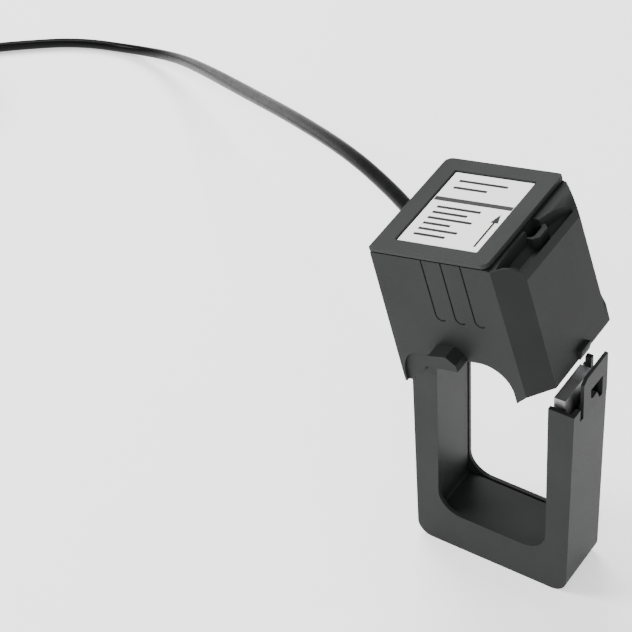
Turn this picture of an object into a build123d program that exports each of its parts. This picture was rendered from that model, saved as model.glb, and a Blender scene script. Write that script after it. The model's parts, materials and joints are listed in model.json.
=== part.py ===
from build123d import *
import math
import os

# Hinged split-core current transformer. Millimetres, +Z up.
# Origin: centre of the lower housing's foot, on the surface it stands on.
# X runs from the hinge leg to the latch leg, Y runs from front to back.

# ---- driving dimensions: lower housing ---------------------------------
LEG_TOP = 87.5          # height of the leg tops
HALF_TOP = 31.0         # half width at the leg tops
HALF_FOOT = 29.7        # half width at the foot (moulding taper)
DEPTH = 23.1            # depth of the lower housing
YF, YB = -DEPTH / 2, DEPTH / 2
FOOT_R = 6.0            # foot corner radius
WIN = 21.2              # half width of the conductor window at the lips
WIN_BOTTOM = 16.3       # window's lower lip
WIN_R = 9.0             # lip corner radius
TUBE = 21.5            # half width at the recessed tube wall
TUBE_T = 0.35           # tube wall
TUBE_BOTTOM = 15.9
TUBE_R = 1.0            # corner radius of the tube wall
WALL = 1.8              # outer wall
PLATE = 1.6             # front plate
COVER_Y = 10.05         # front face of the back cover

# ---- core ---------------------------------------------------------------
CORE_IN, CORE_OUT = 21.95, 26.4
CORE_Y = 9.1            # half depth of the strip stack
POLE_Z = 91.0           # lower pole faces
YOKE_LO, YOKE_HI = 10.4, 15.0
AIR_GAP = 0.15

# ---- latch tongue -------------------------------------------------------
TONGUE_IN = 29.7
TONGUE_TOP = 98.6
TONGUE_Y0 = -5.0
SLIT_Y0, SLIT_Z = -7.0, 82.0
EYE = [(-0.1, 91.0), (8.2, 90.6), (8.2, 82.0), (6.2, 82.4), (4.4, 86.3), (1.3, 86.0), (0.1, 87.2)]   # y, z

# ---- hinge --------------------------------------------------------------
HX, HZ = -25.78, 85.38  # hinge axis, along Y
TILT = 14.65            # opening angle at rest, degrees
PIN_R = 1.2
PIN_FIT = 0.05          # radial clearance in the lugs
CLOSED_X, CLOSED_Z = -27.9, 87.5   # upper housing's corner when shut

# ---- upper housing, in its own u (right), y (back), w (up) --------------
U1, FACET = 55.5, 7.3   # width over the latch face, corner facet
Y0, Y1 = -21.0, 29.5
BODY_H = 51.45
COVER_LO, COVER_HI = 51.9, 53.7
ARCH_W = 11.4           # flat top of the conductor arch
ARCH_U0, ARCH_U1 = 3.5, 43.7
ARCH_R = 11.0
SKIN = 1.5

# ---- cable --------------------------------------------------------------
CABLE_D = 5.2
COIL_C = (-344.0, 75.6)
COIL_R = (18.6, 23.8, 29.0, 34.2)
COIL_LAYERS = 4
COIL_Z0 = 0.8           # the tie's strap passes under the coil
SPLIT_Y = 36.0          # the cable changes carrier at this plane
SPLIT_GAP = 0.3

# route of the free cable, from the gland's mouth to the coil
ROUTE = [
    (-60.0, 24.0, 121.6),
    (-86.5, 41.4, 112.9),
    (-127.0, 69.6, 90.9),
    (-172.0, 102.4, 61.9),
    (-215.6, 134.4, 33.6),
    (-246.0, 156.2, 12.6),
    (-271.0, 162.0, 2.62),
    (-295.0, 154.6, 2.62),
    (-316.0, 140.0, 2.62),
    (-333.0, 126.2, 2.62),
    (-346.8, 115.9, 2.62),
]

os.makedirs("parts", exist_ok=True)
parts = {}


# ---- small helpers ------------------------------------------------------
def block(x0, x1, y0, y1, z0, z1):
    return Pos((x0 + x1) / 2, (y0 + y1) / 2, (z0 + z1) / 2) * Box(x1 - x0, y1 - y0, z1 - z0)


def outline(points, radii, place):
    """A closed face through 2-D points, each corner rounded by its radius."""
    n = len(points)
    if not hasattr(radii, "__len__"):
        radii = [radii] * n
    starts, ends, mids = [], [], []
    for i in range(n):
        p = Vector(*points[i])
        a = Vector(*points[i - 1]) - p
        b = Vector(*points[(i + 1) % n]) - p
        r = radii[i]
        if r <= 0:
            starts.append(p)
            ends.append(p)
            mids.append(None)
            continue
        a, b = a.normalized(), b.normalized()
        half = math.acos(max(-1.0, min(1.0, a.dot(b)))) / 2
        d = r / math.tan(half)
        c = p + (a + b).normalized() * (r / math.sin(half))
        starts.append(p + a * d)
        ends.append(p + b * d)
        mids.append(c + (p - c).normalized() * r)
    edges = []
    for i in range(n):
        if mids[i] is not None:
            edges.append(Edge.make_three_point_arc(place(starts[i]), place(mids[i]), place(ends[i])))
        j = (i + 1) % n
        if (starts[j] - ends[i]).length > 1e-6:
            edges.append(Edge.make_line(place(ends[i]), place(starts[j])))
    return Face(Wire(edges))


def xz(points, y0, y1, radii=0):
    face = outline(points, radii, lambda v: Vector(v.X, y0, v.Y))
    return extrude(face, amount=y1 - y0, dir=(0, 1, 0))


def xy(points, z0, z1, radii=0):
    face = outline(points, radii, lambda v: Vector(v.X, v.Y, z0))
    return extrude(face, amount=z1 - z0, dir=(0, 0, 1))


def rod_y(x, z, r, y0, y1):
    return Pos(x, (y0 + y1) / 2, z) * Rot(90, 0, 0) * Cylinder(r, y1 - y0)


def rod(p, q, r, r2=None):
    p, q = Vector(*p), Vector(*q)
    d = q - p
    plane = Plane(origin=(p + q) / 2, z_dir=d)
    solid = Cylinder(r, d.length) if r2 is None else Cone(r, r2, d.length)
    return plane.location * solid


def side(z):
    return HALF_FOOT + (HALF_TOP - HALF_FOOT) * z / LEG_TOP


def u_shape(xi, bottom, ri, grow, top, y0, y1, low=0.0, ro=FOOT_R):
    """U of the housing's outline pulled in by grow, with its window cut out."""
    t = top
    outer = xz(
        [(-side(low) + grow, low), (side(low) - grow, low), (side(t) - grow, t), (-side(t) + grow, t)],
        y0, y1, [ro, ro, 0, 0],
    )
    inner = xz(
        [(-xi, bottom), (xi, bottom), (xi, t + 30), (-xi, t + 30)],
        y0 - 1, y1 + 1, [ri, ri, 0, 0],
    )
    return outer - inner


# ---- lower housing ------------------------------------------------------
front_plate = u_shape(WIN, WIN_BOTTOM, WIN_R, 0.0, LEG_TOP, YF, YF + PLATE)
trough = u_shape(TUBE, TUBE_BOTTOM, TUBE_R, 0.0, LEG_TOP, YF + PLATE, YB)
cavity_outer = xz(
    [(-side(0) + WALL, 2.0), (side(0) - WALL, 2.0), (side(LEG_TOP) - WALL, LEG_TOP + 1), (-side(LEG_TOP) + WALL, LEG_TOP + 1)],
    YF + PLATE, YB + 1, [FOOT_R - 1.5, FOOT_R - 1.5, 0, 0],
)
tube_solid = xz(
    [(-TUBE - TUBE_T, TUBE_BOTTOM - TUBE_T), (TUBE + TUBE_T, TUBE_BOTTOM - TUBE_T), (TUBE + TUBE_T, LEG_TOP + 30), (-TUBE - TUBE_T, LEG_TOP + 30)],
    YF + PLATE, COVER_Y - 0.6, [TUBE_R + TUBE_T, TUBE_R + TUBE_T, 0, 0],
)
lower = front_plate + (trough - (cavity_outer - tube_solid))
# the hinge leg's outer corner is cut back, with a round eye about the pin
corner_cut = xz([(-33, 75.3), (-28.4, 82.6), (-25.0, 88.0), (-25.0, 90.0), (-33, 90.0)], YF - 1, YB + 1)
eye = rod_y(HX, HZ, 2.45, YF, YF + PLATE) + block(HX, -22.5, YF, YF + PLATE, 82.6, LEG_TOP)
lower = (lower - corner_cut) + eye
lower -= rod_y(HX, HZ, PIN_R, YF - 1, YF + PLATE + 0.5)
# latch tongue: the latch leg's outer wall carried up
tongue = block(TONGUE_IN, 31.02, TONGUE_Y0, YB, LEG_TOP - 6, TONGUE_TOP)
tongue -= xz([(31.02, LEG_TOP - 7), (33, LEG_TOP - 7), (33, TONGUE_TOP + 1), (31.02, TONGUE_TOP + 1)], YF, YB)
nose = Pos(0, 0, 0) * extrude(
    outline([(TONGUE_Y0, TONGUE_TOP - 1.6), (TONGUE_Y0 + 2.2, TONGUE_TOP), (TONGUE_Y0 + 2.2, TONGUE_TOP + 2), (TONGUE_Y0 - 2, TONGUE_TOP + 2), (TONGUE_Y0 - 2, TONGUE_TOP - 1.6)],
            0, lambda v: Vector(28, v.X, v.Y)), amount=5, dir=(1, 0, 0))
tongue -= nose
lower += tongue
lower -= block(TONGUE_IN - 0.6, 33, SLIT_Y0, TONGUE_Y0, SLIT_Z, LEG_TOP + 2)
lower -= extrude(outline(EYE, 0, lambda v: Vector(28, v.X, v.Y)), amount=5, dir=(1, 0, 0))
# inner walls stop a little lower at the pole
lower -= block(21.0, 21.94, YF + PLATE, YB, 84.5, 90)
lower -= block(-21.94, -21.0, YF + PLATE, YB, 84.5, 90)
parts["lower_housing"] = lower

# ---- back cover: U plate in the trough's mouth, with a guide post -------
back = u_shape(WIN, WIN_BOTTOM, WIN_R, WALL + 0.08, LEG_TOP - 0.1, COVER_Y, YB, low=2.08, ro=FOOT_R - 1.6)
back -= corner_cut
back = back + rod_y(HX, HZ, 2.45, COVER_Y, YB) + block(HX, -22.5, COVER_Y, YB, 82.6, LEG_TOP - 0.1)
back -= rod_y(HX, HZ, PIN_R, COVER_Y - 1, YB + 1)
post = block(23.4, 25.7, 9.7, YB, 86.0, 94.8) + block(22.4, 23.5, 10.1, 11.3, 89.0, 90.6)
back += post
parts["lower_back_cover"] = back

# ---- lower half core: strip wound U with ground pole faces --------------
core = xz([(-CORE_OUT, YOKE_LO), (CORE_OUT, YOKE_LO), (CORE_OUT, POLE_Z), (-CORE_OUT, POLE_Z)], -CORE_Y, CORE_Y, [5.6, 5.6, 0, 0])
core -= xz([(-CORE_IN, YOKE_HI), (CORE_IN, YOKE_HI), (CORE_IN, POLE_Z + 2), (-CORE_IN, POLE_Z + 2)], -CORE_Y - 1, CORE_Y + 1, [1.2, 1.2, 0, 0])
parts["lower_core"] = core

# ---- bow spring that lifts the lower core --------------------------------
spring_pts = [(-19, 2.05), (-15, 2.05), (-4, 9.75), (4, 9.75), (15, 2.05), (19, 2.05), (19, 2.55), (15.2, 2.55), (4.2, 10.3), (-4.2, 10.3), (-15.2, 2.55), (-19, 2.55)]
parts["core_spring"] = xz(spring_pts, -6.0, 6.0)

# ---- rubber pads that hold the core's legs in the trough -----------------
pads = {
    "core_pad_left": block(-CORE_OUT - 1.5, -CORE_OUT - 0.05, -6, 6, 30, 62),
    "core_pad_right": block(CORE_OUT + 0.05, CORE_OUT + 1.5, -6, 6, 30, 62),
}
parts.update(pads)

# ---- hinge pins, pressed into the hinge leg's two cheeks ------------------
pins = rod_y(HX, HZ, PIN_R, YF - 2.1, YF + PLATE) + rod_y(HX, HZ, PIN_R, COVER_Y, YB + 2.1)
parts["hinge_pins"] = pins

# ======================================================================
# upper housing: built flat in (u, y, w), then set on the hinge
# ======================================================================
HU, HW = HX - CLOSED_X, HZ - CLOSED_Z   # hinge axis in the upper frame

bottom_pts = [(0, Y0), (U1 - FACET, Y0), (U1, Y0 + FACET), (U1, Y1 - FACET), (U1 - FACET, Y1), (0, Y1)]
top_pts = [(1.1, Y0), (U1 - FACET - 1.1, Y0), (U1 - 0.7, Y0 + FACET + 0.4), (U1 - 0.7, Y1 - FACET - 0.4), (U1 - FACET - 1.1, Y1), (1.1, Y1)]
low_face = outline(bottom_pts, 0, lambda v: Vector(v.X, v.Y, 0))
high_face = outline(top_pts, 0, lambda v: Vector(v.X, v.Y, BODY_H))
shell = Solid.make_loft([low_face.outer_wire(), high_face.outer_wire()], True)
# skirts that reach below the split line, outside the legs
shell = shell + block(0, ARCH_U0, Y0, -12.2, -2.4, 0.2) + block(0, ARCH_U0, 12.2, Y1, -2.4, 0.2)
tip = [(ARCH_U1, 0.2), (ARCH_U1, -3.3), (47.6, -0.4), (48.15, 0.2)]
tip_front = xz(tip, Y0, Y0 + 2.2)
tip_back = xz(tip, Y1 - 2.2, Y1)
shell = shell + tip_front + tip_back
# rounded shoulder outside the cover
shell -= xz([(46.2, BODY_H - 0.3), (49.8, 50.9), (52.4, 49.4), (54.1, 47.0), (54.9, 43.8), (60, 43.8), (60, 56), (46.2, 56)], Y0 - 1, Y1 + 1)

# conductor arch, through from front to back
arch = xz([(ARCH_U0, -12), (ARCH_U0, ARCH_W), (ARCH_U1, ARCH_W), (ARCH_U1, -12)], -40, 50, [0, 2.0, ARCH_R, 0])
leg_room = block(ARCH_U0 - 1, 8.2, -13.2, 13.2, -12, ARCH_W + 2)     # stays solid here, for the core's leg pocket
shell -= arch - leg_room
shell -= block(SKIN, ARCH_U0 + 3, Y0 + SKIN, -13.2, -3, ARCH_W)
shell -= block(SKIN, ARCH_U0 + 3, 13.2, Y1 - SKIN, -3, ARCH_W)

# inside of the box, above the arch and beside it
room = xz([(SKIN + 0.6, ARCH_W + 1.2), (ARCH_U1 + 1.2, ARCH_W + 1.2), (ARCH_U1 + 1.2, 1.2), (U1 - 1.0, 1.2), (U1 - 1.0, 30.0), (U1 - 1.7, 40.5), (45.6, 40.5), (45.6, BODY_H + 1), (SKIN + 1.1, BODY_H + 1)],
          Y0 + SKIN, Y1 - SKIN)
keep_arch = xz([(ARCH_U0 - 1, -12), (ARCH_U0 - 1, ARCH_W + 1.2), (ARCH_U1 + 1.2, ARCH_W + 1.2), (ARCH_U1 + 1.2, -12)], -40, 50, [0, 2.0, ARCH_R + 1.2, 0])
fi = FACET + 2.3
corner_f = xy([(U1 - fi - 8, Y0 - 8), (U1 + 8, Y0 - 8), (U1 + 8, Y0 + fi + 8)], -5, 60)
corner_b = xy([(U1 - fi - 8, Y1 + 8), (U1 + 8, Y1 - fi - 8), (U1 + 8, Y1 + 8)], -5, 60)
# leave the round corner of the arch's roof standing
arch_corner = keep_arch - block(-5, ARCH_U1 - ARCH_R, -41, 51, -13, 60)
room = room + (xz([(ARCH_U1 - ARCH_R, 1.2), (ARCH_U1 + 1.3, 1.2), (ARCH_U1 + 1.3, ARCH_W + 1.3), (ARCH_U1 - ARCH_R, ARCH_W + 1.3)], Y0 + SKIN, Y1 - SKIN) - keep_arch)
room = room - corner_f - corner_b
shell -= room

# pockets and holes for the upper core's legs, and sweep room for the hinge leg
shell -= block(1.4, 6.2, -CORE_Y - 0.2, CORE_Y + 0.2, -1, 30.0)
leg_sweep = rod_y(HU, HW, 7.15, -11.95, 11.95) - block(-20, 1.0, -12, 12, -20, 20)
shell -= leg_sweep
shell -= rod_y(HU, HW, 2.8, -11.95, 11.95)
shell -= block(-1, 8.0, -11.95, 11.95, -12, 0.8)
shell -= block(49.4, 54.85, -CORE_Y - 0.4, CORE_Y + 0.4, -1, 4.2)
shell -= block(50.6, 54.8, CORE_Y, YB + 0.6, -1, 9.0)

# hinge lugs beside the leg, inside the skirts
for a, b in ((-15.2, -11.95), (11.95, 15.2)):
    lug = xz([(0.2, 4.0), (6.4, 4.0), (HU + 2.35, HW), (HU, HW - 2.35), (HU - 1.9, HW - 0.3)], a, b, [0, 0, 1.6, 1.6, 0.6])
    lug = lug + xz([(0.2, 3.5), (8.2, 3.5), (8.2, ARCH_W + 0.2), (0.2, ARCH_W + 0.2)], a, b)
    shell = shell + lug
shell -= rod_y(HU, HW, PIN_R + PIN_FIT, -13.95, -11)
shell -= rod_y(HU, HW, PIN_R + PIN_FIT, 11, 13.95)
# the arch's round corner beside the hinge leg, with a web just behind the wall
shell = shell + xz([(0.5, ARCH_W + 0.2), (0.5, -2.4), (1.6, -2.2), (9.5, 4.6), (11.4, 7.2), (11.4, ARCH_W + 0.2)], Y0 + 1.1, Y0 + 2.3)
shell -= xz([(14.0, ARCH_W), (8.4, 11.0), (6.2, 10.5), (4.5, 9.4), (3.0, 7.6), (1.9, 5.4), (1.2, 3.0), (0.9, 0.4), (0.8, -3.0), (14.0, -3.0)], Y0 - 1, Y0 + 1.1)
shell = shell + xz([(3.4, ARCH_W + 0.2), (3.4, 8.2), (4.5, 9.4), (6.2, 10.5), (8.4, 11.0), (14.0, ARCH_W), (14.0, ARCH_W + 0.2)], Y0, Y0 + 0.95)
# low step on the back corner
shell = shell + xy([(U1 - 0.02, Y1 - FACET - 0.02), (U1 - 0.02, Y1 - FACET + 1.1), (U1 - FACET + 1.1, Y1 - 0.02), (U1 - FACET - 0.02, Y1 - 0.02)], 0.0, 6.9)

# finger pocket in the latch face, under the cover: a scoop that runs out
# towards the back, with a hollow square boss
scoop = [(-19.4, 48.0), (-16.0, 47.3), (-9.0, 46.9), (-2.0, 47.0), (5.0, 47.6), (10.0, 48.7), (14.5, 50.0), (18.0, 51.4), (20.0, 52.4)]


def scoop_wire(w, inward):
    rim = [(min(u + inward, 53.6), y) for y, u in scoop]
    plan = [(54.1, -19.4), (54.1, 20.0)] + rim[::-1]
    return outline(plan, 0, lambda v: Vector(v.X, v.Y, w)).outer_wire()


inner_limit = xy([(40, Y0 + 1.6), (U1 - FACET - 0.2, Y0 + 1.6), (U1 - 1.3, Y0 + FACET + 0.9), (U1 - 1.3, 20.0), (40, 20.0)], 40, 60)
shell -= Solid.make_loft([scoop_wire(46.6, 0.9), scoop_wire(54.0, 0.0)], True) & inner_limit
shell -= Solid.make_loft([scoop_wire(44.4, 3.0), scoop_wire(46.7, 0.86)], True) & inner_limit
BOSS = [(46.0, 0.6), (50.2, 0.6), (51.9, 2.3), (51.9, 7.5), (50.2, 9.2), (46.0, 9.2)]
shell = shell + xy(BOSS, 43.0, 49.1)
shell -= xy([(46.3, 1.4), (48.9, 1.4), (49.9, 2.4), (49.9, 7.4), (48.9, 8.4), (46.3, 8.4)], 45.6, 51.3)

# three J grooves in the front face
for gu in (20.8, 28.3, 35.9):
    shell -= block(gu - 0.28, gu + 0.28, Y0 - 1, Y0 + 0.45, 29.3, BODY_H + 1)
    ring = Pos(gu + 2.1, Y0 - 0.05, 29.3) * Rot(90, 0, 0) * (Cylinder(2.38, 1.0) - Cylinder(1.82, 1.0))
    shell -= ring & block(gu - 1, gu + 3.4, Y0 - 2, Y0 + 2, 26, 29.3)

# block over the arch on the front face
shell = shell + xz([(15.7, 11.4), (28.1, 11.4), (27.9, 14.0), (24.6, 16.9), (17.6, 16.2), (15.7, 13.8)], Y0 - 6.0, Y0 + 0.3)

# snap nub low on the latch face
nub = extrude(outline([(U1 - 0.3, -0.1), (U1 + 0.6, -0.1), (U1 + 1.8, 2.6), (U1 + 1.8, 3.5), (U1 - 0.3, 3.5)], 0, lambda v: Vector(v.X, 1.6, v.Y)), amount=6.4, dir=(0, 1, 0))
shell = shell + nub

# bore for the cable gland, in the hinge-side wall
GU, GY, GW = 0.9, 8.0, 42.0
GDIR = Vector(-0.80, 0.60, 0.0).normalized()
g0 = Vector(GU, GY, GW)
shell -= rod(g0 - GDIR * 8, g0 + GDIR * 8, 3.3)
collar = rod(g0 - GDIR * 3.4, g0 + GDIR * 3.4, 4.2) & block(-12, 1.0, -10, 40, 30, 50)
collar -= rod(g0 - GDIR * 8, g0 + GDIR * 8, 3.3)
shell = shell + collar
upper = {"upper_housing": shell}

# ---- cover with the label recess -----------------------------------------
cover = xy([(1.1, Y0 - 0.1), (46.4, Y0 - 0.1), (46.4, Y1 + 0.7), (1.1, Y1 + 0.7)], COVER_LO, COVER_HI, [0.5, 2.6, 1.8, 2.6])
cover = cover + (xy([(3.2, Y0 + 2.2), (44.6, Y0 + 2.2), (44.6, Y1 - 2.2), (3.2, Y1 - 2.2)], COVER_LO - 2.6, COVER_LO)
                 - xy([(4.6, Y0 + 3.6), (43.2, Y0 + 3.6), (43.2, Y1 - 3.6), (4.6, Y1 - 3.6)], COVER_LO - 3, COVER_LO - 0.6))
cover -= xy([(7.9, -15.2), (39.5, -15.2), (39.5, 24.1), (7.9, 24.1)], 52.6, 55, 0.4)
upper["upper_cover"] = cover
upper["label"] = xy([(8.25, -14.85), (39.15, -14.85), (39.15, 23.75), (8.25, 23.75)], 52.65, 53.0, 0.4)

# ---- upper half core ------------------------------------------------------
CI, CO = CORE_IN - CLOSED_X, CORE_OUT - CLOSED_X          # latch side, in u
LI, LO = -CORE_IN - CLOSED_X, -CORE_OUT - CLOSED_X        # hinge side, in u
POLE_W = POLE_Z - CLOSED_Z + AIR_GAP
TOP_W = 29.2
ucore = xz([(LO, POLE_W), (CO, POLE_W), (CO, TOP_W), (LO, TOP_W)], -CORE_Y, CORE_Y, [0, 0, 5.6, 5.6])
ucore -= xz([(LI, POLE_W - 2), (CI, POLE_W - 2), (CI, TOP_W - 4.6), (LI, TOP_W - 4.6)], -CORE_Y - 1, CORE_Y + 1, [0, 0, 1.2, 1.2])
upper["upper_core"] = ucore

# ---- coil former, winding and wrap on the yoke ----------------------------
yoke_lo, yoke_hi = TOP_W - 4.6, TOP_W


def sleeve(u0, u1, gap, t):
    a = block(u0, u1, -CORE_Y - gap - t, CORE_Y + gap + t, yoke_lo - gap - t, yoke_hi + gap + t)
    return a - block(u0 - 1, u1 + 1, -CORE_Y - gap, CORE_Y + gap, yoke_lo - gap, yoke_hi + gap)


former = sleeve(9.0, 46.0, 0.1, 1.0) + sleeve(9.0, 10.2, 0.1, 7.6) + sleeve(44.8, 46.0, 0.1, 7.6)
upper["bobbin"] = former
upper["secondary_winding"] = sleeve(10.25, 44.75, 1.15, 5.2)
upper["winding_wrap"] = sleeve(10.25, 44.75, 6.4, 0.5)

# ---- protection board, terminals and leads ---------------------------------
upper["terminal_board"] = block(3.4, 26.0, 18.4, 20.0, 13.0, 46.0)
upper["surge_diode"] = Pos(15.5, 22.2, 31.0) * Rot(0, 90, 0) * Cylinder(2.0, 8.0)
upper["crimp_splice_a"] = Pos(8.0, 22.4, 38.0) * Cylinder(1.5, 7.0)
upper["crimp_splice_b"] = Pos(13.0, 22.4, 38.0) * Cylinder(1.5, 7.0)
lead_path = FilletPolyline((12.0, 15.0, 37.2), (12.0, 15.0, 43.0), (12.0, 18.1, 43.0), radius=1.2)
upper["winding_lead_a"] = sweep(Plane(origin=(12.0, 15.0, 37.2), z_dir=(0, 0, 1)) * Circle(0.6), path=lead_path)
upper["winding_lead_b"] = Pos(10.0, 0, 0) * upper["winding_lead_a"]

# ---- cable clamp and gland ---------------------------------------------------
gland_out = g0 + GDIR * 3.45
BOOT = 5.0
bore_r = CABLE_D / 2
gland = rod(g0 - GDIR * 5.0, gland_out, 3.25) + rod(gland_out, g0 + GDIR * BOOT, 3.9, 3.3)
gland -= rod(g0 - GDIR * 12, g0 + GDIR * (BOOT + 5), bore_r)
upper["cable_gland"] = gland
clamp_c = g0 - GDIR * 7.2
clamp_pl = Plane(origin=clamp_c, z_dir=GDIR)
clamp = clamp_pl.location * (Box(9, 9, 3.2) - Cylinder(bore_r, 4))
upper["cable_clamp"] = clamp

corner = Vector(CLOSED_X, 0, CLOSED_Z)
hinge = Vector(HX, 0, HZ)
lift = Pos(HX, 0, HZ) * Rot(0, -TILT, 0) * Pos(CLOSED_X - HX, 0, CLOSED_Z - HZ)
for name, solid in upper.items():
    parts[name] = lift * solid


def world(v):
    t = math.radians(TILT)
    x, z = v.X + CLOSED_X - HX, v.Z + CLOSED_Z - HZ
    return Vector(HX + x * math.cos(t) - z * math.sin(t), v.Y, HZ + x * math.sin(t) + z * math.cos(t))


# ---- cable: jacketed lead from inside the box to the coil --------------------
cable_start = world(g0 - GDIR * 8.8)
mouth = world(g0 + GDIR * BOOT)
route = [cable_start, mouth] + [Vector(*p) for p in ROUTE]
runs = [(b - a).length for a, b in zip(route, route[1:])]
radii = []
for i in range(1, len(route) - 1):
    turn = math.radians((route[i] - route[i - 1]).get_angle(route[i + 1] - route[i]))
    radii.append(0.45 * min(runs[i - 1], runs[i]) / math.tan(turn / 2))
print("cable runs", [round(r, 1) for r in runs])
print("cable radii", [round(r, 1) for r in radii])
path = FilletPolyline(*route, radius=radii)
path_wire = Wire(path.edges())
section = Plane(origin=route[0], z_dir=route[1] - route[0]) * Circle(CABLE_D / 2)
tube = sweep(section, path=path_wire)
print("cable tube", round(tube.volume, 1), "section x length", round(math.pi * CABLE_D ** 2 / 4 * path_wire.length, 1), "length", round(path_wire.length, 1))
parts["cable_gland"] = parts["cable_gland"] - tube
near = tube & block(-200, 50, -60, SPLIT_Y - SPLIT_GAP / 2, 0, 300)
far = tube & block(-500, 50, SPLIT_Y + SPLIT_GAP / 2, 300, -10, 300)
parts["cable_near"] = near
parts["cable_far"] = far

# ---- put-away coil, its tie, and the bare end ---------------------------------
r_in, r_out = COIL_R[0] - CABLE_D / 2, COIL_R[-1] + CABLE_D / 2
coil_h = CABLE_D * COIL_LAYERS
coil = Pos(COIL_C[0], COIL_C[1], coil_h / 2 + COIL_Z0) * (Cylinder(r_out, coil_h) - Cylinder(r_in, coil_h))
parts["cable_coil"] = coil

TIE_A = math.radians(250)
tie_mid = (r_in + r_out) / 2
tw, tt = r_out - r_in, 0.7
tie_box = Box(tw + 1.9, 3.6, coil_h + 1.5) - Box(tw + 0.5, 5, coil_h + 0.1)
tie_head = Pos((tw + 1.9) / 2 + 1.2, 0, 4.0) * Box(3.0, 4.4, 5.0)
tie = tie_box + tie_head
tie = Pos(COIL_C[0] + tie_mid * math.cos(TIE_A), COIL_C[1] + tie_mid * math.sin(TIE_A), coil_h / 2 + COIL_Z0) * Rot(0, 0, 250) * tie
parts["coil_tie"] = tie

END_R, END_Z = 26.4, COIL_Z0 + coil_h + 0.05 + CABLE_D / 2


def on_ring(deg, r=END_R, z=END_Z):
    a = math.radians(deg)
    return Vector(COIL_C[0] + r * math.cos(a), COIL_C[1] + r * math.sin(a), z)


def ring_tube(d0, d1, r, z, radius):
    arc = Edge.make_three_point_arc(on_ring(d0, r, z), on_ring((d0 + d1) / 2, r, z), on_ring(d1, r, z))
    a = math.radians(d0)
    prof = Plane(origin=on_ring(d0, r, z), z_dir=Vector(-math.sin(a), math.cos(a), 0)) * Circle(radius)
    return sweep(prof, path=Wire([arc]))


parts["cable_end"] = ring_tube(10, 80, END_R, END_Z, CABLE_D / 2)
parts["lead_brown"] = ring_tube(80.05, 165, END_R + 1.25, END_Z - 0.5, 1.05)
parts["lead_blue"] = ring_tube(80.05, 165, END_R - 1.25, END_Z - 0.5, 1.05)
parts["ferrule_brown"] = ring_tube(165.05, 183, END_R + 1.25, END_Z - 0.5, 1.15)
parts["ferrule_blue"] = ring_tube(165.05, 183, END_R - 1.25, END_Z - 0.5, 1.15)

for name, shape in parts.items():
    export_step(shape, f"parts/{name}.step")
    print(name, round(shape.volume, 1))
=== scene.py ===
import json
import math
import bmesh
import bpy
from mathutils import Matrix, Vector

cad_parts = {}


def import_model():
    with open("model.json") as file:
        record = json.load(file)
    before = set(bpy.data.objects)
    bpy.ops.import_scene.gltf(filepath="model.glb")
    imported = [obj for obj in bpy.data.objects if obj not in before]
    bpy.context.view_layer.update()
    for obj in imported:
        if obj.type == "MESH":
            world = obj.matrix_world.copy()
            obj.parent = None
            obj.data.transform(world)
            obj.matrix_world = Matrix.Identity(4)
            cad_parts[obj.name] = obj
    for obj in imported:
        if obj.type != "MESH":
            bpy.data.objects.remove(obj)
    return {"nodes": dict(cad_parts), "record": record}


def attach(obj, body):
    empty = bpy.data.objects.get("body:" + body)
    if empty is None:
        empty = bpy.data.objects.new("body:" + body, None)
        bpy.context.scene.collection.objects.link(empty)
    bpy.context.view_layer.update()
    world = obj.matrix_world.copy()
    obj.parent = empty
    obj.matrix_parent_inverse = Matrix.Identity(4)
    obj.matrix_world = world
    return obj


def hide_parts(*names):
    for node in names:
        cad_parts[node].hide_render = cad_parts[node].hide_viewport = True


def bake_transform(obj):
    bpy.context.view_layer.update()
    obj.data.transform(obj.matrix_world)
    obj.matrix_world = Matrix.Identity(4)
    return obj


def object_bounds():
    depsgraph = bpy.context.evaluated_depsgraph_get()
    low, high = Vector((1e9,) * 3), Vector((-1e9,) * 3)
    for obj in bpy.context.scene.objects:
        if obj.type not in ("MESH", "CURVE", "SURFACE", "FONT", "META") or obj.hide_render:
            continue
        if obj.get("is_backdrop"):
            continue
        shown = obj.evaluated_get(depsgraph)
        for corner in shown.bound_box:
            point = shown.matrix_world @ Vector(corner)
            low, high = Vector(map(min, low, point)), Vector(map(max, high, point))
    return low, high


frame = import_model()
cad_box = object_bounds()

MM = 0.001
nodes = frame["nodes"]

# ---------------------------------------------------------------- materials


def new_material(name, base, rough, metallic=0.0, spec=0.5, coat=0.0, coat_rough=0.1):
    m = bpy.data.materials.new(name)
    m.use_nodes = True
    b = m.node_tree.nodes["Principled BSDF"]
    b.inputs["Base Color"].default_value = (*base, 1.0)
    b.inputs["Roughness"].default_value = rough
    b.inputs["Metallic"].default_value = metallic
    b.inputs["Specular IOR Level"].default_value = spec
    b.inputs["Coat Weight"].default_value = coat
    b.inputs["Coat Roughness"].default_value = coat_rough
    return m


def add(m, kind):
    return m.node_tree.nodes.new(kind)


def link(m, a, b):
    m.node_tree.links.new(a, b)


def noise(m, scale, detail=4.0, rough=0.55, stretch=(1, 1, 1)):
    tc = add(m, "ShaderNodeTexCoord")
    mp = add(m, "ShaderNodeMapping")
    mp.inputs["Scale"].default_value = stretch
    n = add(m, "ShaderNodeTexNoise")
    n.inputs["Scale"].default_value = scale
    n.inputs["Detail"].default_value = detail
    n.inputs["Roughness"].default_value = rough
    link(m, tc.outputs["Object"], mp.inputs["Vector"])
    link(m, mp.outputs["Vector"], n.inputs["Vector"])
    return n


def ramp(m, src, lo, hi, c0, c1):
    r = add(m, "ShaderNodeValToRGB")
    r.color_ramp.elements[0].position = lo
    r.color_ramp.elements[1].position = hi
    r.color_ramp.elements[0].color = (*c0, 1) if hasattr(c0, "__len__") else (c0, c0, c0, 1)
    r.color_ramp.elements[1].color = (*c1, 1) if hasattr(c1, "__len__") else (c1, c1, c1, 1)
    link(m, src, r.inputs["Fac"])
    return r


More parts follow.
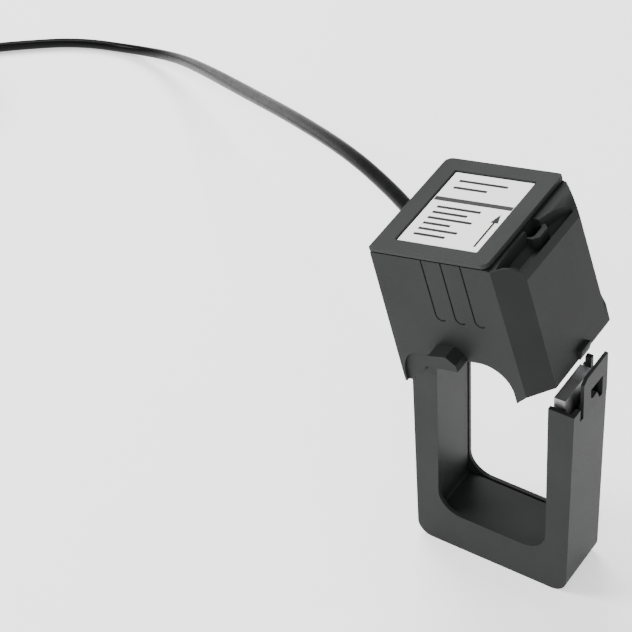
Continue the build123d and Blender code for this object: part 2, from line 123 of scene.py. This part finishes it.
def bump(m, src, strength, distance, chain=None):
    b = add(m, "ShaderNodeBump")
    b.inputs["Strength"].default_value = strength
    b.inputs["Distance"].default_value = distance
    link(m, src, b.inputs["Height"])
    if chain is not None:
        link(m, chain.outputs["Normal"], b.inputs["Normal"])
    return b


def moulded(name, base, rough, grain=2600.0, strength=0.35, depth=0.00003, spread=0.12, spec=0.5):
    """Moulded plastic: spark-eroded grain, slow colour drift, a little gloss variation."""
    m = new_material(name, base, rough, spec=spec)
    p = m.node_tree.nodes["Principled BSDF"]
    slow = noise(m, 38.0, 3.0)
    fine = noise(m, grain, 5.0, 0.6)
    c = ramp(m, slow.outputs["Fac"], 0.3, 0.7, tuple(v * (1 - spread) for v in base), tuple(v * (1 + spread) for v in base))
    link(m, c.outputs["Color"], p.inputs["Base Color"])
    r = ramp(m, fine.outputs["Fac"], 0.3, 0.75, rough - 0.06, rough + 0.08)
    link(m, r.outputs["Color"], p.inputs["Roughness"])
    b = bump(m, fine.outputs["Fac"], strength, depth)
    link(m, b.outputs["Normal"], p.inputs["Normal"])
    return m


def metal(name, base, rough, stretch=(1, 1, 1), scale=900.0, drift=1.0):
    m = new_material(name, base, rough, metallic=1.0)
    p = m.node_tree.nodes["Principled BSDF"]
    n = noise(m, scale, 4.0, 0.6, stretch)
    c = ramp(m, n.outputs["Fac"], 0.25, 0.75, tuple(v * (1 - 0.28 * drift) for v in base), tuple(min(1.0, v * (1 + 0.12 * drift)) for v in base))
    link(m, c.outputs["Color"], p.inputs["Base Color"])
    r = ramp(m, n.outputs["Fac"], 0.3, 0.7, rough - 0.07 * drift, rough + 0.1 * drift)
    link(m, r.outputs["Color"], p.inputs["Roughness"])
    b = bump(m, n.outputs["Fac"], 0.2 * drift, 0.00002)
    link(m, b.outputs["Normal"], p.inputs["Normal"])
    return m


HOUSING = moulded("housing_plastic", (0.0165, 0.0175, 0.0172), 0.5, spec=0.12)
COVER = moulded("cover_plastic", (0.022, 0.0228, 0.0228), 0.5, grain=1500.0, strength=0.8, depth=0.00008, spec=0.16)
BOBBIN = moulded("bobbin_plastic", (0.72, 0.7, 0.62), 0.4, strength=0.15)
RUBBER = moulded("gland_rubber", (0.008, 0.008, 0.0085), 0.5, grain=900.0, strength=0.2, spec=0.25)
CABLE = moulded("cable_jacket", (0.0025, 0.0025, 0.0028), 0.3, grain=500.0, strength=0.04, spread=0.25, spec=0.07)
NYLON = moulded("tie_nylon", (0.02, 0.02, 0.02), 0.35, strength=0.15)
BOARD = moulded("board_laminate", (0.03, 0.16, 0.07), 0.35, grain=1200.0, strength=0.2)
BROWN = moulded("lead_brown", (0.17, 0.06, 0.025), 0.32, grain=900.0, strength=0.08)
BLUE = moulded("lead_blue", (0.02, 0.1, 0.42), 0.32, grain=900.0, strength=0.08)
TAPE = moulded("wrap_tape", (0.75, 0.5, 0.08), 0.25, grain=700.0, strength=0.12)
LABEL = moulded("label_film", (0.86, 0.86, 0.85), 0.42, grain=1800.0, strength=0.08, spread=0.02, spec=0.3)
INK = moulded("print_ink", (0.012, 0.012, 0.013), 0.5, grain=2200.0, strength=0.1, spread=0.08, spec=0.2)
BAND = moulded("print_band", (0.028, 0.028, 0.029), 0.5, grain=2200.0, strength=0.1, spread=0.05, spec=0.2)
# strip-wound core: the strip's edges show as fine lines along the leg's width
CORE = metal("core_steel", (0.82, 0.83, 0.85), 0.5, stretch=(2.5, 0.8, 1.0), scale=1100.0, drift=0.35)


def painted_reflection_ramp(m, y0, y1, painted_dim_tone):
    """Painted reflection on the strip stack's ground face: the colour is darkened towards its front edge and left
    bright towards its back edge, where a light is reflected.
    """
    p = m.node_tree.nodes["Principled BSDF"]
    col = p.inputs["Base Color"].links[0].from_socket
    tc = add(m, "ShaderNodeTexCoord")
    sep = add(m, "ShaderNodeSeparateXYZ")
    link(m, tc.outputs["Object"], sep.inputs["Vector"])
    rng = add(m, "ShaderNodeMapRange")
    rng.inputs["From Min"].default_value = y0 * MM
    rng.inputs["From Max"].default_value = y1 * MM
    rng.inputs["To Min"].default_value = 1.0
    rng.inputs["To Max"].default_value = 0.0
    link(m, sep.outputs["Y"], rng.inputs["Value"])
    mix = add(m, "ShaderNodeMix")
    mix.data_type = "RGBA"
    sock = [s for s in mix.inputs if s.type == "RGBA"]
    link(m, rng.outputs["Result"], mix.inputs["Factor"])
    link(m, col, sock[0])
    sock[1].default_value = (*painted_dim_tone, 1.0)
    link(m, [s for s in mix.outputs if s.type == "RGBA"][0], p.inputs["Base Color"])


# painted reflection: the pole face's colour is dark at its front and bright steel at its back
painted_reflection_ramp(CORE, 1.5, 5.5, (0.3, 0.3, 0.305))
SPRING = metal("spring_steel", (0.6, 0.61, 0.63), 0.28)
TIN = metal("tinned_copper", (0.78, 0.78, 0.77), 0.3, scale=600.0)
COPPER = metal("winding_copper", (0.75, 0.3, 0.13), 0.32, stretch=(12.0, 1.0, 1.0), scale=160.0)

# ---------------------------------------------------------------- mesh helpers


def object_from(bm, name, mat, smooth=True, angle=32.0):
    me = bpy.data.meshes.new(name)
    bm.to_mesh(me)
    bm.free()
    me.materials.clear()
    me.materials.append(mat)
    if smooth:
        me.shade_smooth()
        me.set_sharp_from_angle(angle=math.radians(angle))
    o = bpy.data.objects.new(name, me)
    bpy.context.scene.collection.objects.link(o)
    return o


def bake(o, name):
    deps = bpy.context.evaluated_depsgraph_get()
    me = bpy.data.meshes.new_from_object(o.evaluated_get(deps))
    o.modifiers.clear()
    old = o.data
    o.data = me
    me.name = name
    bpy.data.meshes.remove(old)


def body_of(node):
    for b, names in frame["record"]["behaviour"]["bodies"].items():
        if node in names:
            return b
    return "lower"


def softened(node, name, mat, width=0.35, segments=2, limit=34.0):
    """The node's own shape with its moulded edges rounded."""
    bm = bmesh.new()
    bm.from_mesh(nodes[node].data)
    bm.transform(nodes[node].matrix_world)
    bmesh.ops.remove_doubles(bm, verts=bm.verts, dist=2e-6)
    bmesh.ops.dissolve_limit(bm, angle_limit=math.radians(0.6), verts=bm.verts, edges=bm.edges, delimit=set())
    o = object_from(bm, name, mat)
    bev = o.modifiers.new("edges", "BEVEL")
    bev.width = width * MM
    bev.segments = segments
    bev.limit_method = "ANGLE"
    bev.angle_limit = math.radians(limit)
    bev.use_clamp_overlap = True
    bev.miter_outer = "MITER_ARC"
    bev.harden_normals = False
    wn = o.modifiers.new("normals", "WEIGHTED_NORMAL")
    wn.keep_sharp = False
    wn.weight = 80
    bake(o, name)
    o.data.shade_smooth()
    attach(o, body_of(node))
    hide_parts(node)
    return o


# ---------------------------------------------------------------- camera
yaw, pitch, roll = 0.593373, 0.760909, -0.050914
sy, cy, sp, cp = math.sin(yaw), math.cos(yaw), math.sin(pitch), math.cos(pitch)
fwd = Vector((-sy * cp, cy * cp, -sp))
right = Vector((cy, sy, 0))
up = right.cross(fwd)
r2 = right * math.cos(roll) + up * math.sin(roll)
u2 = right * -math.sin(roll) + up * math.cos(roll)
cam_data = bpy.data.cameras.new("camera")
cam = bpy.data.objects.new("camera", cam_data)
bpy.context.scene.collection.objects.link(cam)
cam_data.sensor_fit = "HORIZONTAL"
cam_data.sensor_width = 36.0
cam_data.lens = 173.30
cam_data.clip_start = 0.05
cam_data.clip_end = 20.0
rot = Matrix((r2, u2, -fwd)).transposed().to_4x4()
cam.matrix_world = Matrix.Translation(Vector((351.796, -635.401, 803.364)) * MM) @ rot
bpy.context.scene.camera = cam

# ---------------------------------------------------------------- cable
# the route's points, in millimetres, from inside the gland to the coil
HX, HZ, TILT = -25.78, 85.38, math.radians(14.65)
CX, CZ = -27.9, 87.5
GDIR = Vector((-0.80, 0.60, 0.0)).normalized()
G0 = Vector((0.9, 8.0, 42.0))


def world(v):
    x, z = v.x + CX - HX, v.z + CZ - HZ
    return Vector((HX + x * math.cos(TILT) - z * math.sin(TILT), v.y, HZ + x * math.sin(TILT) + z * math.cos(TILT)))


start_pt = world(G0 - GDIR * 8.8)
mouth = world(G0 + GDIR * 5.0)
route = [
    start_pt,
    mouth,
    Vector((-60.0, 24.0, 121.6)),
    Vector((-86.5, 41.4, 112.9)),
    Vector((-127.0, 69.6, 90.9)),
    Vector((-172.0, 102.4, 61.9)),
    Vector((-215.6, 134.4, 33.6)),
    Vector((-246.0, 156.2, 12.6)),
    Vector((-271.0, 162.0, 2.62)),
    Vector((-295.0, 154.6, 2.62)),
    Vector((-316.0, 140.0, 2.62)),
    Vector((-333.0, 126.2, 2.62)),
    Vector((-346.8, 115.9, 2.62)),
]
COIL = (-344.0, 75.6)
RINGS = [18.6, 23.8, 29.0, 34.2]
D = 5.2
A0 = 128.0
STEP = 22.5
FIT = 1.0 / (math.cos(math.radians(STEP / 2)) ** 0.75)


def ease(t):
    t = max(0.0, min(1.0, t))
    return t * t * (3 - 2 * t)


def on_coil(deg, r, z):
    a = math.radians(deg)
    return Vector((COIL[0] + r * FIT * math.cos(a), COIL[1] + r * FIT * math.sin(a), z))


turns = []
for layer in range(4):
    order = RINGS[::-1] if layer % 2 == 0 else RINGS
    for r in order:
        turns.append((r, 2.62 + D * layer))
full = turns[:15]
deg = A0
coil_pts = []
for i, (r, z) in enumerate(full):
    nr, nz = turns[i + 1]
    for k in range(16):
        f = ease((k * STEP - 285.0) / 75.0)
        coil_pts.append(on_coil(deg, r + (nr - r) * f, z + (nz - z) * f))
        deg += STEP
r, z = turns[15]
TOP_Z = 2.62 + D * 4
stop = deg + 112.5
while deg < stop - 1:
    coil_pts.append(on_coil(deg, r, z))
    deg += STEP
rise0 = deg
while deg < rise0 + 67.0:
    f = ease((deg - rise0) / 60.0)
    coil_pts.append(on_coil(deg, r, z + (TOP_Z - z) * f))
    deg += STEP
slide0 = deg
while deg < slide0 + 67.0:
    f = ease((deg - slide0) / 60.0)
    coil_pts.append(on_coil(deg, r + (26.4 - r) * f, TOP_Z))
    deg += STEP
end_deg = 360.0 * math.ceil(deg / 360.0) + 80.0
if end_deg - deg > 330.0:
    end_deg -= 360.0
while deg < end_deg - 8.0:
    coil_pts.append(on_coil(deg, 26.4, TOP_Z))
    deg += STEP
coil_pts.append(on_coil(end_deg, 26.4, TOP_Z))
route_all = route + coil_pts

curve = bpy.data.curves.new("cable_route", "CURVE")
curve.dimensions = "3D"
curve.resolution_u = 8
spl = curve.splines.new("NURBS")
spl.points.add(len(route_all) - 1)
for p, q in zip(spl.points, route_all):
    p.co = (q.x * MM, q.y * MM, q.z * MM, 1.0)
spl.order_u = 3
spl.use_endpoint_u = True
holder = bpy.data.objects.new("cable_route", curve)
bpy.context.scene.collection.objects.link(holder)
deps = bpy.context.evaluated_depsgraph_get()
line = bpy.data.meshes.new_from_object(holder.evaluated_get(deps))
path = [v.co.copy() for v in line.vertices]
bpy.data.meshes.remove(line)
bpy.data.objects.remove(holder)
bpy.data.curves.remove(curve)
cable_len = sum((b - a).length for a, b in zip(path, path[1:]))
print("cable length", round(cable_len, 4))


def tangents(pts):
    out = []
    for i in range(len(pts)):
        a = pts[max(0, i - 1)]
        b = pts[min(len(pts) - 1, i + 1)]
        out.append((b - a).normalized())
    return out


FLAT = Vector((0.405, -0.600, 0.690))   # the side that the jacket's flat turns to beside the gland


def oval_tube(name, pts, mat, wide, thin, wide_dir, sides=24):
    tan = tangents(pts)
    bm = bmesh.new()
    rings = []
    last = None
    dist = 0.0
    for i, (p, t) in enumerate(zip(pts, tan)):
        if i:
            dist += (p - pts[i - 1]).length
        w = wide_dir(dist, t)
        w = (w - t * w.dot(t)).normalized()
        if last is not None and w.dot(last) < 0:
            w = -w
        last = w
        h = t.cross(w).normalized()
        ring = []
        for k in range(sides):
            a = 2 * math.pi * k / sides
            ca, sa = math.cos(a), math.sin(a)
            # oval two-core jacket
            e = 1.0
            x = math.copysign(abs(ca) ** e, ca) * wide / 2
            y = math.copysign(abs(sa) ** e, sa) * thin / 2
            ring.append(bm.verts.new(p + w * x + h * y))
        rings.append(ring)
    for a, b in zip(rings, rings[1:]):
        for k in range(sides):
            j = (k + 1) % sides
            bm.faces.new((a[k], a[j], b[j], b[k]))
    bm.faces.new(list(reversed(rings[0])))
    bm.faces.new(rings[-1])
    bmesh.ops.recalc_face_normals(bm, faces=bm.faces)
    return object_from(bm, name, mat, angle=75.0)


def cable_wide(dist, t):
    side = t.cross(FLAT).normalized()
    edge = side.cross(t).normalized()
    f = ease((dist - 0.15) / 0.19)
    a = math.radians(78.0) * f
    v = side * math.cos(a) + edge * math.sin(a)
    if dist > 0.36:
        g = ease((dist - 0.36) / 0.06)
        z = Vector((0, 0, 1.0 if v.z >= 0 else -1.0))
        v = v * (1 - g) + z * g
    return v


cable = oval_tube("cable_jacket", path, CABLE, 5.2 * MM, 3.8 * MM, cable_wide)

# the two leads and their ferrules continue from the jacket's end
end_p = path[-1]


def ring_path(d0, d1, r, z, n):
    out = []
    for i in range(n + 1):
        a = math.radians(d0 + (d1 - d0) * i / n)
        out.append(Vector((COIL[0] + r * math.cos(a), COIL[1] + r * math.sin(a), z)) * MM)
    return out


def round_tube(name, pts, mat, radius, profile=None, sides=14):
    tan = tangents(pts)
    bm = bmesh.new()
    rings = []
    for i, (p, t) in enumerate(zip(pts, tan)):
        w = Vector((0, 0, 1)) - t * t.z
        w.normalize()
        h = t.cross(w)
        s = radius * (profile(i / (len(pts) - 1)) if profile else 1.0)
        rings.append([bm.verts.new(p + w * math.cos(2 * math.pi * k / sides) * s + h * math.sin(2 * math.pi * k / sides) * s) for k in range(sides)])
    for a, b in zip(rings, rings[1:]):
        for k in range(sides):
            j = (k + 1) % sides
            bm.faces.new((a[k], a[j], b[j], b[k]))
    bm.faces.new(list(reversed(rings[0])))
    bm.faces.new(rings[-1])
    bmesh.ops.recalc_face_normals(bm, faces=bm.faces)
    return object_from(bm, name, mat, angle=50.0)


LZ = TOP_Z - 0.6
small = []
for tag, sgn, mat in (("brown", 1, BROWN), ("blue", -1, BLUE)):
    lead = round_tube("wire_" + tag, ring_path(78.0, 166.0, 26.4 + sgn * 1.25, LZ, 30), mat, 1.05 * MM)
    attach(lead, "lower")
    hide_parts("lead_" + tag)
    fer = round_tube("ferrule_sleeve_" + tag, ring_path(164.0, 183.0, 26.4 + sgn * 1.25, LZ, 16), TIN, 1.15 * MM,
                     lambda t: 1.18 if t < 0.3 else (0.95 if t < 0.95 else 0.85))
    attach(fer, "lower")
    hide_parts("ferrule_" + tag)
    small += [lead, fer]

# the tie round the put-away turns
bm = bmesh.new()
ta = math.radians(250.0)
rad, tang = Vector((math.cos(ta), math.sin(ta), 0)), Vector((-math.sin(ta), math.cos(ta), 0))
mid = Vector((COIL[0], COIL[1], 0)) + rad * 26.4
loop = []
hw, top = 11.6, 2.62 + D * 3 + 2.75
outline = [(-hw + 1.5, 0.12), (hw - 1.5, 0.12), (hw - 0.4, 0.55), (hw, 1.7), (hw, top - 1.2), (hw - 0.4, top - 0.3), (hw - 1.5, top), (-hw + 1.5, top), (-hw + 0.4, top - 0.3), (-hw, top - 1.2), (-hw, 1.7), (-hw + 0.4, 0.55)]
strips = []
for x, z in outline:
    n = Vector((x / hw, 0, (z - top / 2) / (top / 2)))
    grow = 0.62
    xo, zo = x + math.copysign(grow, x) * (abs(x) > hw - 1.6), z + (grow if z > top - 1.3 else 0.0)
    row = []
    for (px, pz) in ((x, z), (xo, zo)):
        for s in (-1.8, 1.8):
            row.append(bm.verts.new((mid + rad * px + tang * s + Vector((0, 0, pz))) * MM))
    strips.append(row)
for i in range(len(strips)):
    a, b = strips[i], strips[(i + 1) % len(strips)]
    bm.faces.new((a[0], a[1], b[1], b[0]))
    bm.faces.new((a[2], b[2], b[3], a[3]))
    bm.faces.new((a[0], b[0], b[2], a[2]))
    bm.faces.new((a[1], a[3], b[3], b[1]))
head = bmesh.ops.create_cube(bm, size=1.0)["verts"]
bmesh.ops.scale(bm, vec=(3.0 * MM, 4.4 * MM, 5.0 * MM), verts=head)
bmesh.ops.rotate(bm, cent=(0, 0, 0), matrix=Matrix.Rotation(ta, 3, "Z"), verts=head)
bmesh.ops.translate(bm, vec=(mid + rad * (hw + 1.9) + Vector((0, 0, 14.0))) * MM, verts=head)
bmesh.ops.recalc_face_normals(bm, faces=bm.faces)
tie = object_from(bm, "cable_tie", NYLON)
bv = tie.modifiers.new("edges", "BEVEL")
bv.width = 0.15 * MM
bv.segments = 2
bake(tie, "cable_tie")
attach(tie, "lower")
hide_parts("coil_tie")
small.append(tie)

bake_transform(cable)
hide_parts("cable_near", "cable_far", "cable_coil", "cable_end")

# ---------------------------------------------------------------- moulded parts
softened("lower_housing", "leg_moulding", HOUSING, 0.3)
softened("lower_back_cover", "leg_back_plate", HOUSING, 0.22)
softened("upper_housing", "box_moulding", HOUSING, 0.35)
softened("upper_cover", "box_cover", COVER, 0.35)
softened("label", "label_plate", LABEL, 0.08, 1)
softened("lower_core", "half_core_lower", CORE, 0.2)
softened("upper_core", "half_core_upper", CORE, 0.2)
softened("cable_gland", "gland_boot", RUBBER, 0.25)

for name, mat in (
    ("core_spring", SPRING), ("core_pad_left", RUBBER), ("core_pad_right", RUBBER), ("hinge_pins", SPRING),
    ("bobbin", BOBBIN), ("secondary_winding", COPPER), ("winding_wrap", TAPE), ("terminal_board", BOARD),
    ("surge_diode", RUBBER), ("crimp_splice_a", TIN), ("crimp_splice_b", TIN), ("winding_lead_a", COPPER),
    ("winding_lead_b", COPPER), ("cable_clamp", BOBBIN),
):
    me = nodes[name].data
    me.materials.clear()
    me.materials.append(mat)

# ---------------------------------------------------------------- print on the label
LABEL_W = 53.0


def flat_shape(bm, pts, w0=LABEL_W - 0.02, w1=LABEL_W + 0.05):
    lo = [bm.verts.new(world(Vector((u, v, w0))) * MM) for u, v in pts]
    hi = [bm.verts.new(world(Vector((u, v, w1))) * MM) for u, v in pts]
    bm.faces.new(list(reversed(lo)))
    bm.faces.new(hi)
    n = len(pts)
    for i in range(n):
        j = (i + 1) % n
        bm.faces.new((lo[i], lo[j], hi[j], hi[i]))


def rect(bm, u0, u1, v0, v1):
    flat_shape(bm, [(u0, v0), (u1, v0), (u1, v1), (u0, v1)])


bm = bmesh.new()
rect(bm, 8.6, 38.8, 8.2, 10.2)
bmesh.ops.recalc_face_normals(bm, faces=bm.faces)
band = object_from(bm, "label_band", BAND, smooth=False)
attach(band, "upper")

bm = bmesh.new()
# plain bars in place of printed data
for u0, u1, v in ((12.0, 31.0, 19.0), (12.0, 25.0, 15.2), (12.0, 29.0, 4.4), (12.0, 25.5, 1.4), (12.0, 29.0, -1.6), (12.0, 22.5, -4.6), (12.0, 27.0, -7.6), (12.0, 24.0, -10.6)):
    rect(bm, u0, u1, v, v + 1.15)
# arrow for the direction of the primary current
flat_shape(bm, [(36.0, -12.0), (36.8, -12.0), (36.8, 1.0), (37.9, 1.0), (36.4, 5.6), (34.9, 1.0), (36.0, 1.0)])
bmesh.ops.recalc_face_normals(bm, faces=bm.faces)
ink = object_from(bm, "label_marks", INK, smooth=False)
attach(ink, "upper")

# ---------------------------------------------------------------- floor and light
bm = bmesh.new()
s = 6.0
grid = 6
vs = {}
for i in range(grid + 1):
    for j in range(grid + 1):
        vs[i, j] = bm.verts.new((-s + 2 * s * i / grid, -s + 2 * s * j / grid, 0.0))
for i in range(grid):
    for j in range(grid):
        bm.faces.new((vs[i, j], vs[i + 1, j], vs[i + 1, j + 1], vs[i, j + 1]))
FLOOR = moulded("floor_paper", (0.9, 0.9, 0.9), 0.75, grain=120.0, strength=0.02, spread=0.005, spec=0.2)
paper = FLOOR.node_tree.nodes["Principled BSDF"]
paper.inputs["Emission Color"].default_value = (1.0, 1.0, 1.0, 1.0)
paper.inputs["Emission Strength"].default_value = 0.85   # lit from behind, as a light table is
floor = object_from(bm, "floor", FLOOR)
floor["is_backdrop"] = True

world_bg = bpy.data.worlds.new("studio")
bpy.context.scene.world = world_bg
world_bg.use_nodes = True
world_bg.node_tree.nodes["Background"].inputs["Color"].default_value = (1.0, 1.0, 1.0, 1.0)
world_bg.node_tree.nodes["Background"].inputs["Strength"].default_value = 0.65


def area(name, loc, target, size, power, size_y=None):
    d = bpy.data.lights.new(name, "AREA")
    d.energy = power
    d.shape = "RECTANGLE"
    d.size = size
    d.size_y = size_y or size
    o = bpy.data.objects.new(name, d)
    bpy.context.scene.collection.objects.link(o)
    o.location = loc
    o.rotation_euler = (Vector(target) - Vector(loc)).to_track_quat("-Z", "Y").to_euler()
    return o


area("key", (-1.0, -0.45, 0.85), (0.0, 0.0, 0.08), 0.45, 19.0)
area("fill", (0.55, -0.95, 0.6), (0.0, 0.0, 0.08), 0.5, 4.5)
area("top", (-0.6, 0.5, 1.3), (-0.05, 0.05, 0.0), 0.7, 22.0)

def plain(b):
    return [[float(x) for x in row] if hasattr(row, "__len__") else float(row) for row in b]
{"cad": plain(cad_box), "visual": plain(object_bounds())}
